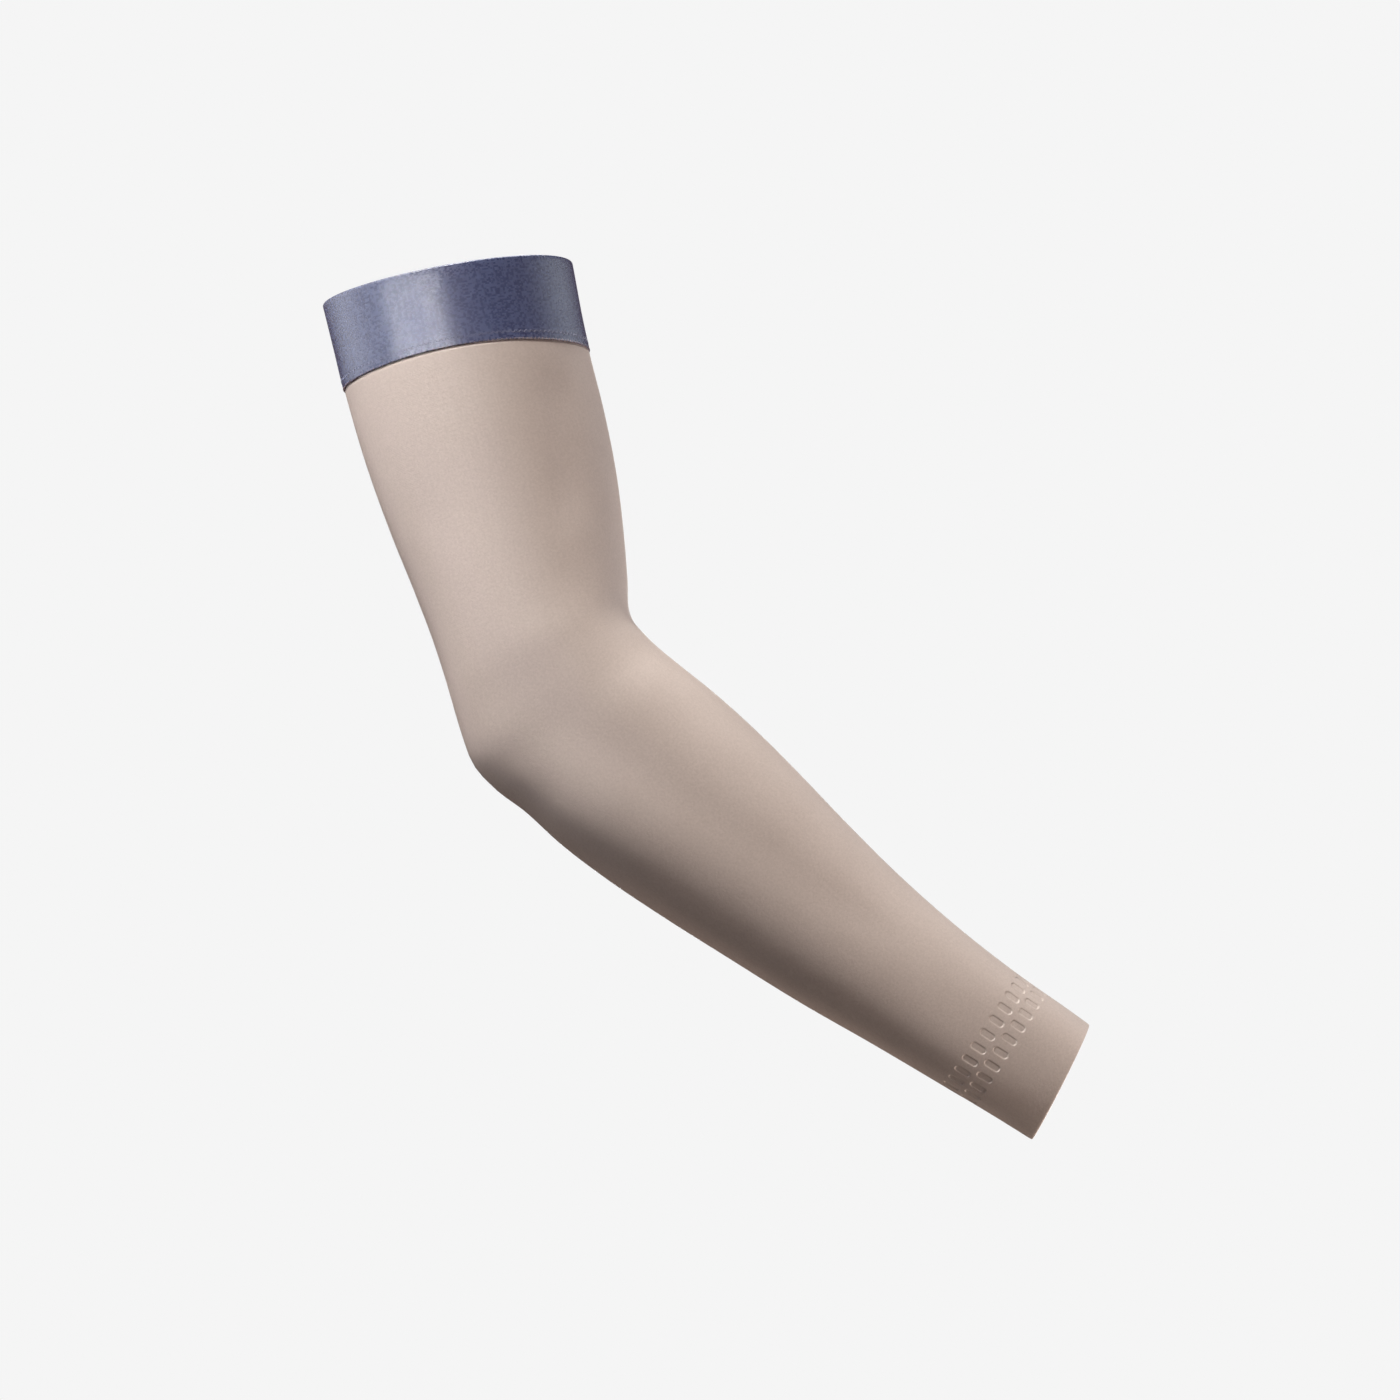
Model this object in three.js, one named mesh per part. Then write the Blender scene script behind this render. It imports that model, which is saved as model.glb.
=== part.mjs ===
// An arm warmer: a tube of smooth knitted cloth with a folded elastic band at its upper mouth,
// in the shape that it has on a bent arm. Both mouths and the hollow between them are open.
// Millimetres, +Z up. The arm bends in the XZ plane, and its two halves in Y are alike.
// The origin is on the arm's axis, at the middle of the band that grips the upper arm.
import * as THREE from 'three';

// The arm that the cloth is drawn over, in the plane of its bend
const UPPER_LENGTH = 172.5; // from the elbow to the upper mouth
const FOREARM_LENGTH = 253.5; // from the elbow to the wrist mouth
const UPPER_LEAN = 14.5; // degrees that the upper arm leans back from upright
const ELBOW_BEND = 38; // degrees from the upper arm's line to the forearm's

// Outside sizes of the cloth at the two mouths and the elbow
const MOUTH_WIDTH = 102; // width is front to back, in the plane of the bend
const MOUTH_DEPTH = 90; // depth is square to that plane
const ELBOW_WIDTH = 85.5;
const ELBOW_DEPTH = 76;
const WRIST_WIDTH = 50.5;
const WRIST_DEPTH = 46;

// The sleeve's cloth
const SLEEVE_WALL = 1.2;
const WRIST_CURL = 0.5; // how far the cut edge at the wrist turns in
const WRIST_CURL_LENGTH = 2;

// The elastic band, one strip folded over at the upper mouth and sewn round the sleeve's top
const BAND_HEIGHT = 36; // from the fold at the upper mouth to the band's lower edge
const BAND_PLY = 1; // one layer of the folded band
const BAND_PROUD = 0.3; // how far the band stands out from the sleeve below it
const BAND_EDGE = 0.4; // rounding of the lower edge
const SEAM_ALLOWANCE = 7; // length of sleeve caught between the band's two layers
const CLEARANCE = 0.3; // gap between the band and the sleeve that it holds
const POCKET_SLOPE = 4; // length over which the inner layer opens round the sleeve's top
const TUCK_SLOPE = 1.8; // length over which the sleeve comes out from under the band
const RIM_BOW = 0.8; // how far the fold dips on the two sides of the arm
const SEAM_BOW = 2.8; // how far the lower edge rises there
const SEAM_BOW_REACH = 60; // length of sleeve over which its rings lose that bow

// How finely the curved cloth is divided
const SIDES = 36;
const RING_STEP = 10; // longest stretch between two rings of the sleeve
const BAND_STEP = 7; // longest stretch between two rings of the band
const FOLD_SIDES = 6;

// Cross-sections from the upper mouth to the wrist mouth.
// reach: place along the arm, as a share of the upper arm (-1 to 0) or of the forearm (0 to 1)
// turn: how far the section has turned with the elbow, as a share of the bend
// shift: how far its centre lies in front of the arm's line, as a share of its width
// width, depth: its size, as a share of the straight taper between mouth, elbow and wrist
// egg: how much fuller in depth it is in front than behind, as a share of that depth
// shoulder: how much fuller both ends are than a plain oval's, in the same measure
const SECTIONS = [
  { reach: -1.0, turn: -0.12, shift: -0.005, width: 1.0, depth: 1.0, egg: 0.08, shoulder: -0.06 },
  { reach: -0.79, turn: -0.13, shift: -0.017, width: 1.012, depth: 1.01, egg: 0.07, shoulder: -0.06 },
  { reach: -0.62, turn: -0.06, shift: -0.013, width: 1.024, depth: 1.0, egg: 0.06, shoulder: -0.1 },
  { reach: -0.46, turn: 0.0, shift: -0.007, width: 1.005, depth: 0.98, egg: 0.05, shoulder: -0.12 },
  { reach: -0.32, turn: 0.05, shift: -0.005, width: 0.96, depth: 0.98, egg: 0.04, shoulder: -0.08 },
  { reach: -0.2, turn: 0.13, shift: -0.01, width: 0.92, depth: 0.99, egg: 0.07, shoulder: -0.02 },
  { reach: -0.11, turn: 0.26, shift: -0.02, width: 0.905, depth: 1.0, egg: 0.15, shoulder: 0.05 },
  { reach: -0.045, turn: 0.46, shift: -0.01, width: 0.95, depth: 0.99, egg: 0.2, shoulder: 0.07 },
  { reach: 0.0, turn: 0.63, shift: 0.005, width: 1.0, depth: 0.99, egg: 0.21, shoulder: 0.07 },
  { reach: 0.045, turn: 0.72, shift: -0.02, width: 1.025, depth: 1.01, egg: 0.16, shoulder: 0.06 },
  { reach: 0.1, turn: 0.77, shift: -0.023, width: 1.036, depth: 1.05, egg: 0.06, shoulder: 0.1 },
  { reach: 0.17, turn: 0.81, shift: -0.034, width: 1.08, depth: 1.08, egg: -0.03, shoulder: 0.14 },
  { reach: 0.26, turn: 0.84, shift: -0.044, width: 1.1, depth: 1.1, egg: -0.07, shoulder: 0.18 },
  { reach: 0.36, turn: 0.87, shift: -0.056, width: 1.085, depth: 1.1, egg: -0.05, shoulder: 0.16 },
  { reach: 0.48, turn: 0.92, shift: -0.073, width: 1.04, depth: 1.07, egg: -0.05, shoulder: 0.11 },
  { reach: 0.6, turn: 0.98, shift: -0.086, width: 0.998, depth: 1.03, egg: -0.08, shoulder: 0.06 },
  { reach: 0.73, turn: 1.03, shift: -0.077, width: 0.958, depth: 1.0, egg: -0.04, shoulder: 0.12 },
  { reach: 0.86, turn: 1.09, shift: -0.047, width: 0.96, depth: 0.97, egg: 0.0, shoulder: 0.2 },
  { reach: 0.94, turn: 1.17, shift: -0.016, width: 0.983, depth: 0.96, egg: 0.05, shoulder: 0.15 },
  { reach: 1.0, turn: 1.28, shift: 0.004, width: 1.01, depth: 0.96, egg: 0.07, shoulder: 0.0 },
];

// Soft swells under the cloth, one on each side of the arm at the same place.
// reach: as above
// round: degrees round the arm from its front
// high: height of the swell, as a share of the elbow's depth
// long: half its length, as a share of the forearm
// wide: half its width, in degrees round the arm
const SWELLS = [
  { reach: 0.12, round: 61, high: 0.02, long: 0.15, wide: 30 },
];

const { degToRad, lerp, smoothstep } = THREE.MathUtils;
const lean = degToRad(UPPER_LEAN);
const bend = degToRad(ELBOW_BEND);
const UPPER_LINE = { x: -Math.sin(lean), z: Math.cos(lean) };
const FOREARM_LINE = { x: Math.sin(lean + bend), z: -Math.cos(lean + bend) };

// A point of the arm's own bent line, from the elbow.
function armLine(reach) {
  const line = reach < 0 ? UPPER_LINE : FOREARM_LINE;
  const length = Math.abs(reach) * (reach < 0 ? UPPER_LENGTH : FOREARM_LENGTH);
  return { x: line.x * length, z: line.z * length };
}

// One row of the table in real sizes: its centre, the tilt of its front-to-back line, its size.
function sizedSection({ reach, turn, shift, width, depth, egg, shoulder }) {
  const share = Math.abs(reach);
  const outerWidth = width * lerp(ELBOW_WIDTH, reach < 0 ? MOUTH_WIDTH : WRIST_WIDTH, share);
  const outerDepth = depth * lerp(ELBOW_DEPTH, reach < 0 ? MOUTH_DEPTH : WRIST_DEPTH, share);
  const tilt = lean + turn * bend;
  const onLine = armLine(reach);
  return {
    x: onLine.x + shift * outerWidth * Math.cos(tilt),
    z: onLine.z + shift * outerWidth * Math.sin(tilt),
    tilt,
    width: outerWidth,
    depth: outerDepth,
    egg,
    shoulder,
  };
}

const sections = SECTIONS.map(sizedSection);

// The distance of each section from the upper mouth, along the line through their centres.
const stations = [0];
for (let i = 1; i < sections.length; i += 1) {
  const step = Math.hypot(sections[i].x - sections[i - 1].x, sections[i].z - sections[i - 1].z);
  stations.push(stations[i - 1] + step);
}
const SLEEVE_END = stations[stations.length - 1];

// The slope of one value at section i, weighed between its two neighbours.
function slopeAt(key, i) {
  const rise = (j) => (sections[j + 1][key] - sections[j][key]) / (stations[j + 1] - stations[j]);
  if (i === 0) return rise(0);
  if (i === sections.length - 1) return rise(i - 1);
  const before = stations[i] - stations[i - 1];
  const after = stations[i + 1] - stations[i];
  return (rise(i - 1) * after + rise(i) * before) / (before + after);
}

// The section at any distance from the upper mouth: smooth cubics through the table's rows.
function sectionAt(along) {
  let i = 0;
  while (i < sections.length - 2 && along > stations[i + 1]) i += 1;
  const span = stations[i + 1] - stations[i];
  const t = (along - stations[i]) / span;
  const section = {};
  for (const key of Object.keys(sections[0])) {
    const start = sections[i][key] * (2 * t ** 3 - 3 * t ** 2 + 1);
    const leave = slopeAt(key, i) * span * (t ** 3 - 2 * t ** 2 + t);
    const end = sections[i + 1][key] * (3 * t ** 2 - 2 * t ** 3);
    const arrive = slopeAt(key, i + 1) * span * (t ** 3 - t ** 2);
    section[key] = start + leave + end + arrive;
  }
  return section;
}

// The distance along the cloth of a place that the tables give by its reach.
function alongAt(reach) {
  const row = SECTIONS.findLastIndex((section) => section.reach <= reach);
  const from = Math.min(row, SECTIONS.length - 2);
  const share = (reach - SECTIONS[from].reach) / (SECTIONS[from + 1].reach - SECTIONS[from].reach);
  return lerp(stations[from], stations[from + 1], share);
}

const swells = SWELLS.map(({ reach, round, high, long, wide }) => ({
  along: alongAt(reach),
  angle: degToRad(round),
  high: high * ELBOW_DEPTH,
  long: long * FOREARM_LENGTH,
  wide: degToRad(wide),
}));

// How far the swells push the cloth out at one point: a smooth bell for each of them.
function swellHeight(along, angle) {
  const fromFront = Math.acos(Math.cos(angle));
  return swells.reduce((sum, swell) => {
    const lengthwise = ((along - swell.along) / swell.long) ** 2;
    const crosswise = ((fromFront - swell.angle) / swell.wide) ** 2;
    return sum + swell.high * Math.exp(-lengthwise - crosswise);
  }, 0);
}

const grip = sectionAt(BAND_HEIGHT / 2);

// A point of the cloth, so far along the arm, at an angle round it from the front, and so far
// in from the outline of its section.
function clothPoint(along, angle, inset) {
  const section = sectionAt(along);
  const front = Math.cos(angle);
  const fullness = 1 + section.egg * front + section.shoulder * front ** 2;
  const drawnIn = inset - swellHeight(along, angle);
  const forward = (section.width / 2 - drawnIn) * front;
  const sideways = ((section.depth / 2) * fullness - drawnIn) * Math.sin(angle);
  return [
    section.x - grip.x + forward * Math.cos(section.tilt),
    sideways,
    section.z - grip.z + forward * Math.sin(section.tilt),
  ];
}

// How far a ring of cloth slides down the arm on its two sides: the band's rim dips there,
// its lower edge rises, and the sleeve's rings below it soon lie flat again.
function bowAt(along) {
  if (along < BAND_HEIGHT) return lerp(RIM_BOW, -SEAM_BOW, along / BAND_HEIGHT);
  return -SEAM_BOW * (1 - smoothstep(along, BAND_HEIGHT, BAND_HEIGHT + SEAM_BOW_REACH));
}

// A closed wall: a loop of { along, inset } points carried once round the arm.
function wallRoundArm(profile) {
  const corners = [];
  for (const { along, inset } of profile) {
    for (let k = 0; k < SIDES; k += 1) {
      const angle = (2 * Math.PI * k) / SIDES;
      const bowed = along + bowAt(along) * Math.sin(angle) ** 2;
      corners.push(...clothPoint(bowed, angle, inset));
    }
  }
  const faces = [];
  for (let i = 0; i < profile.length; i += 1) {
    const ring = i * SIDES;
    const nextRing = ((i + 1) % profile.length) * SIDES;
    for (let k = 0; k < SIDES; k += 1) {
      const next = (k + 1) % SIDES;
      faces.push(ring + k, nextRing + next, ring + next);
      faces.push(ring + k, nextRing + k, nextRing + next);
    }
  }
  const geometry = new THREE.BufferGeometry();
  geometry.setAttribute('position', new THREE.Float32BufferAttribute(corners, 3));
  geometry.setIndex(faces);
  geometry.computeVertexNormals();
  return geometry;
}

// Places from one distance to another, no further apart than step. The first is left out.
function placesTo(from, to, step) {
  const count = Math.ceil(Math.abs(to - from) / step);
  return Array.from({ length: count }, (_, k) => lerp(from, to, (k + 1) / count));
}

// The sleeve lies under the band's outer layer, comes out below it and ends in a cut edge.
const tuckInset = BAND_PLY - BAND_PROUD + CLEARANCE;

function sleeveInset(along) {
  const out = smoothstep(along, BAND_HEIGHT + CLEARANCE, BAND_HEIGHT + TUCK_SLOPE);
  const curl = smoothstep(along, SLEEVE_END - WRIST_CURL_LENGTH, SLEEVE_END);
  return tuckInset * (1 - out) + WRIST_CURL * curl;
}

function sleeveGeometry() {
  const tuckEnd = BAND_HEIGHT + TUCK_SLOPE;
  const curlStart = SLEEVE_END - WRIST_CURL_LENGTH;
  const rings = [
    BAND_HEIGHT - SEAM_ALLOWANCE,
    BAND_HEIGHT + CLEARANCE,
    ...placesTo(BAND_HEIGHT + CLEARANCE, tuckEnd, TUCK_SLOPE / 2),
    ...placesTo(tuckEnd, curlStart, RING_STEP),
    ...placesTo(curlStart, SLEEVE_END, WRIST_CURL_LENGTH / 2),
  ];
  const outer = rings.map((along) => ({ along, inset: sleeveInset(along) }));
  const inner = outer.map(({ along, inset }) => ({ along, inset: inset + SLEEVE_WALL }));
  return wallRoundArm([...outer, ...inner.reverse()]);
}

// The band's two layers lie together above, and part below round the sleeve's top.
function bandGeometry() {
  const outerFace = -BAND_PROUD;
  const between = outerFace + BAND_PLY;
  const innerFace = between + BAND_PLY;
  const pocketInset = tuckInset + SLEEVE_WALL + CLEARANCE;
  const pocketTop = BAND_HEIGHT - SEAM_ALLOWANCE - CLEARANCE;
  const slopeTop = pocketTop - POCKET_SLOPE;
  const fold = Array.from({ length: FOLD_SIDES + 1 }, (_, k) => {
    const angle = (Math.PI * k) / FOLD_SIDES;
    return { along: BAND_PLY * (1 - Math.sin(angle)), inset: between + BAND_PLY * Math.cos(angle) };
  });
  const outside = placesTo(BAND_PLY, BAND_HEIGHT - BAND_EDGE, BAND_STEP)
    .map((along) => ({ along, inset: outerFace }));
  const insideAbove = placesTo(slopeTop, BAND_PLY, BAND_STEP)
    .slice(0, -1)
    .map((along) => ({ along, inset: innerFace }));
  return wallRoundArm([
    ...fold,
    ...outside,
    { along: BAND_HEIGHT, inset: outerFace + BAND_EDGE },
    { along: BAND_HEIGHT, inset: between },
    { along: pocketTop, inset: between },
    { along: pocketTop, inset: pocketInset },
    { along: BAND_HEIGHT, inset: pocketInset },
    { along: BAND_HEIGHT, inset: pocketInset + BAND_PLY },
    { along: pocketTop, inset: pocketInset + BAND_PLY },
    { along: slopeTop, inset: innerFace },
    ...insideAbove,
  ]);
}

const sleeveCloth = new THREE.MeshStandardMaterial({ color: 0xb0a299, roughness: 0.9, metalness: 0 });
const bandCloth = new THREE.MeshStandardMaterial({ color: 0x6d7491, roughness: 0.5, metalness: 0 });

const sleeve = new THREE.Mesh(sleeveGeometry(), sleeveCloth);
sleeve.name = 'sleeve';

const cuffBand = new THREE.Mesh(bandGeometry(), bandCloth);
cuffBand.name = 'cuff_band';

const armWarmer = new THREE.Group();
armWarmer.add(sleeve, cuffBand);

export default armWarmer;
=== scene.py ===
# %% [markdown]
# # An arm warmer with a satin elastic band
# A real arm warmer is a tapered tube of smooth stretch knit. A strip of elastic is folded over its upper
# mouth and sewn on with a zigzag, and that band grips the upper arm. Here it is worn on a bent arm, so its
# outline is the arm's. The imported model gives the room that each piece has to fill. This script builds the
# fine surfaces in that room, dresses them with procedural cloth and lights them like a product picture.
# Everything is in metres, with Z up. The arm bends in the XZ plane.

# %% Load the frame
import math

import bpy
import numpy as np
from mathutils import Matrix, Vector


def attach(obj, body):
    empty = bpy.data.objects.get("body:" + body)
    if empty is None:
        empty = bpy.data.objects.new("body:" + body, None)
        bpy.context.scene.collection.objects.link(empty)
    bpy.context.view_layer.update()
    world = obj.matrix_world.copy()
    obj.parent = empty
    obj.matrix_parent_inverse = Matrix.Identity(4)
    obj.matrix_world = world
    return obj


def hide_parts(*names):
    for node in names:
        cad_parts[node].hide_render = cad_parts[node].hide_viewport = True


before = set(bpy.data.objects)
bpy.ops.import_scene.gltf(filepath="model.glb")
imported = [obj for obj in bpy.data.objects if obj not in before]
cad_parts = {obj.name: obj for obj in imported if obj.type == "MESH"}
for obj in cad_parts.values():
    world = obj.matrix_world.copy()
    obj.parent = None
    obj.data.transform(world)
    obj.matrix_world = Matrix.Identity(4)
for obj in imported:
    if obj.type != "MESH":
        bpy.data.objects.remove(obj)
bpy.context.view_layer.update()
print("nodes in the frame:", sorted(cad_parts))

# %% [markdown]
# ## The shape that the arm gives
# The cloth has no shape of its own: it takes the arm's. One way to build it would be to sculpt a tube. A
# short table of cross-sections is easier to read and to correct, because each row says in plain words how
# wide and deep the arm is at one place and how far the section has turned with the elbow. A smooth curve
# through the rows gives every section between them.

# %% Sizes of the arm and the cloth
UPPER_LENGTH = 0.1725    # elbow to upper mouth
FOREARM_LENGTH = 0.2535  # elbow to wrist mouth
UPPER_LEAN = math.radians(14.5)
ELBOW_BEND = math.radians(38)
MOUTH = (0.102, 0.090)   # width in the plane of the bend, depth across it
ELBOW = (0.0855, 0.076)
WRIST = (0.0505, 0.046)

SLEEVE_WALL = 0.0012
BAND_HEIGHT = 0.036
SEAM_ALLOWANCE = 0.007   # of the sleeve, caught between the band's layers
CLEARANCE = 0.0001       # round that part of the sleeve
RIM_BOW = 0.0008
SEAM_BOW = 0.0028
SEAM_BOW_REACH = 0.060

# reach: -1 at the upper mouth, 0 at the elbow, 1 at the wrist. turn: share of the bend that the section
# has turned. shift: how far its centre lies in front of the arm's line, as a share of its width. width,
# depth: share of the straight taper. egg: how much fuller it is in front than behind. shoulder: how much
# fuller both ends are than a plain oval's.
SECTIONS = np.array([
    (-1.0, -0.12, -0.005, 1.0, 1.0, 0.08, -0.06),
    (-0.79, -0.13, -0.017, 1.012, 1.01, 0.07, -0.06),
    (-0.62, -0.06, -0.013, 1.024, 1.0, 0.06, -0.1),
    (-0.46, 0.0, -0.007, 1.005, 0.98, 0.05, -0.12),
    (-0.32, 0.05, -0.005, 0.96, 0.98, 0.04, -0.08),
    (-0.2, 0.13, -0.01, 0.92, 0.99, 0.07, -0.02),
    (-0.11, 0.26, -0.02, 0.905, 1.0, 0.15, 0.05),
    (-0.045, 0.46, -0.01, 0.95, 0.99, 0.2, 0.07),
    (0.0, 0.63, 0.005, 1.0, 0.99, 0.21, 0.07),
    (0.045, 0.72, -0.02, 1.025, 1.01, 0.16, 0.06),
    (0.1, 0.77, -0.023, 1.036, 1.05, 0.06, 0.1),
    (0.17, 0.81, -0.034, 1.08, 1.08, -0.03, 0.14),
    (0.26, 0.84, -0.044, 1.1, 1.1, -0.07, 0.18),
    (0.36, 0.87, -0.056, 1.085, 1.1, -0.05, 0.16),
    (0.48, 0.92, -0.073, 1.04, 1.07, -0.05, 0.11),
    (0.6, 0.98, -0.086, 0.998, 1.03, -0.08, 0.06),
    (0.73, 1.03, -0.077, 0.958, 1.0, -0.04, 0.12),
    (0.86, 1.09, -0.047, 0.96, 0.97, 0.0, 0.2),
    (0.94, 1.17, -0.016, 0.983, 0.96, 0.05, 0.15),
    (1.0, 1.28, 0.004, 1.01, 0.96, 0.07, 0.0),
], dtype=[(name, float) for name in ("reach", "turn", "shift", "width", "depth", "egg", "shoulder")])


# %% The table's rows in real sizes
def sized_sections(rows):
    """Centre = point of the bent line + shift x width along the section's tilted line. Width and depth =
    the row's share x a straight taper from the elbow's size to the mouth's or the wrist's."""
    share = np.abs(rows["reach"])
    upper = rows["reach"] < 0
    far = np.where(upper[:, None], MOUTH, WRIST)
    taper = ELBOW + (far - ELBOW) * share[:, None]
    width, depth = rows["width"] * taper[:, 0], rows["depth"] * taper[:, 1]
    bent = UPPER_LEAN + ELBOW_BEND
    line_x = np.where(upper, -math.sin(UPPER_LEAN) * UPPER_LENGTH, math.sin(bent) * FOREARM_LENGTH)
    line_z = np.where(upper, math.cos(UPPER_LEAN) * UPPER_LENGTH, -math.cos(bent) * FOREARM_LENGTH)
    tilt = UPPER_LEAN + rows["turn"] * ELBOW_BEND
    return {
        "x": line_x * share + rows["shift"] * width * np.cos(tilt),
        "z": line_z * share + rows["shift"] * width * np.sin(tilt),
        "tilt": tilt,
        "width": width,
        "depth": depth,
        "egg": rows["egg"],
        "shoulder": rows["shoulder"],
    }


ROWS = sized_sections(SECTIONS)
STATIONS = np.concatenate([[0], np.cumsum(np.hypot(np.diff(ROWS["x"]), np.diff(ROWS["z"])))])
SLEEVE_END = STATIONS[-1]
print(f"the cloth is {SLEEVE_END * 1000:.0f} mm long along the arm")


# %% A smooth curve through the rows
def slopes(values):
    """Slope at each row: the rises before and after it, each weighed by the other's length."""
    step = np.diff(STATIONS)
    rise = np.diff(values) / step
    middle = (rise[:-1] * step[1:] + rise[1:] * step[:-1]) / (step[:-1] + step[1:])
    return np.concatenate([rise[:1], middle, rise[-1:]])


SLOPES = {name: slopes(values) for name, values in ROWS.items()}


def section_at(along):
    """Each value is a cubic between two rows, with their values and slopes at its ends."""
    i = np.clip(np.searchsorted(STATIONS, along, side="right") - 1, 0, len(STATIONS) - 2)
    span = STATIONS[i + 1] - STATIONS[i]
    t = (along - STATIONS[i]) / span
    start, end = 2 * t**3 - 3 * t**2 + 1, 3 * t**2 - 2 * t**3
    leave, arrive = (t**3 - 2 * t**2 + t) * span, (t**3 - t**2) * span
    return {
        name: ROWS[name][i] * start + ROWS[name][i + 1] * end
        + SLOPES[name][i] * leave + SLOPES[name][i + 1] * arrive
        for name in ROWS
    }


def smooth_step(x, low, high):
    """0 below low, 1 above high, and 3t^2 - 2t^3 between them."""
    t = np.clip((x - low) / (high - low), 0, 1)
    return t * t * (3 - 2 * t)


# %% [markdown]
# ## From a place on the cloth to a point in space
# Every surface here is a function of two numbers: how far along the arm, and at what angle round it. A
# third number sets the point in from the outline, so the same function draws the outer face, the inner
# face and the threads that lie on the cloth. A soft swell on each side, just below the elbow, stands for
# the forearm's muscle, which a bent arm pushes out, and two shallow grooves on each side lie between the
# muscles. They are less than a millimetre deep, which is enough to turn the light a little.

# %% The swells and the grooves
SWELL_REACH = 0.12                    # place of the swell, as in the table
SWELL_ANGLE = math.radians(61)        # from the front
SWELL_HIGH = 0.02 * ELBOW[1]
SWELL_LONG = 0.15 * FOREARM_LENGTH
SWELL_WIDE = math.radians(30)
SWELL_ALONG = np.interp(SWELL_REACH, SECTIONS["reach"], STATIONS)


def swell_height(along, angle):
    """A bell in both directions: high x exp(-(along / long)^2 - (angle / wide)^2)."""
    from_front = np.arccos(np.cos(angle))
    lengthwise = ((along - SWELL_ALONG) / SWELL_LONG) ** 2
    crosswise = ((from_front - SWELL_ANGLE) / SWELL_WIDE) ** 2
    return SWELL_HIGH * np.exp(-lengthwise - crosswise)


# start and end along the arm, angle from the front at each of them, depth, half width
MUSCLE_GROOVES = [
    (0.038, 0.120, math.radians(47), math.radians(58), 0.0009, math.radians(12)),
    (0.150, 0.375, math.radians(102), math.radians(70), 0.0008, math.radians(15)),
]
MUSCLE_GROOVE_FADE = 0.3              # share of a groove over which it begins, and over which it ends


def groove_depth(along, angle):
    """Across each groove a bell, depth x exp(-(angle off its middle / wide)^2), faded out at both ends."""
    from_front = np.arccos(np.cos(angle))
    total = 0.0
    for start, end, first, last, deep, wide in MUSCLE_GROOVES:
        t = (along - start) / (end - start)
        off_middle = from_front - (first + (last - first) * t)
        fade = smooth_step(t, 0, MUSCLE_GROOVE_FADE) * (1 - smooth_step(t, 1 - MUSCLE_GROOVE_FADE, 1))
        total = total + deep * fade * np.exp(-((off_middle / wide) ** 2))
    return total


# %% A point on the cloth
def bow_at(along):
    """How far a ring slides down the arm on its two sides: down at the rim, up at the seam, then none."""
    band = RIM_BOW - (RIM_BOW + SEAM_BOW) * along / BAND_HEIGHT
    sleeve = -SEAM_BOW * (1 - smooth_step(along, BAND_HEIGHT, BAND_HEIGHT + SEAM_BOW_REACH))
    return np.where(along < BAND_HEIGHT, band, sleeve)


GRIP = section_at(np.array(BAND_HEIGHT / 2))


def cloth(along, angle, inset):
    """A full egg round the arm's line. With c = cos(angle), forward = (width / 2 - inset) c and sideways =
    (depth / 2 (1 + egg c + shoulder c^2) - inset) sin(angle), turned by the section's tilt. Angle 0 is the
    arm's front."""
    along = along + bow_at(along) * np.sin(angle) ** 2
    s = section_at(along)
    front = np.cos(angle)
    fullness = 1 + s["egg"] * front + s["shoulder"] * front**2
    drawn_in = inset - swell_height(along, angle) + groove_depth(along, angle)
    forward = (s["width"] / 2 - drawn_in) * front
    sideways = (s["depth"] / 2 * fullness - drawn_in) * np.sin(angle)
    return np.stack([
        s["x"] - GRIP["x"] + forward * np.cos(s["tilt"]),
        sideways,
        s["z"] - GRIP["z"] + forward * np.sin(s["tilt"]),
    ], axis=-1)


# %% [markdown]
# ## Putting a grid of points into a mesh
# A wall of cloth is a closed loop, the profile, carried once round the arm. Its grid closes both ways, so
# it has no open edge. The UV map is the cloth's own flat measure in metres: U runs round the arm from the
# middle of the near side, and V runs down the arm. The knit can then be drawn at its real size.

# %% A closed wall from a grid
BACK = math.pi / 2  # the angle of the far side, where the wall begins and ends and its seam lies


def spread(start, *stretches):
    """Places along the arm from start on. Each stretch is (its end, the number of equal steps to it)."""
    places = [np.array([start])]
    for end, steps in stretches:
        places.append(np.linspace(start, end, steps + 1)[1:])
        start = end
    return np.concatenate(places)


def add_uv(piece, name, uv):
    """Each quad's four corners take the UV of rows i, i + 1 and columns k, k + 1. The last row's quads
    join it to the first row."""
    rows, columns = uv.shape[0], uv.shape[1] - 1
    i, k = np.meshgrid(np.arange(rows), np.arange(columns), indexing="ij")
    i2 = (i + 1) % rows
    corners = np.stack([uv[i, k], uv[i2, k], uv[i2, k + 1], uv[i, k + 1]], axis=2)
    layer = piece.data.uv_layers.new(name=name)
    layer.data.foreach_set("uv", corners.astype(np.float32).ravel())


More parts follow.
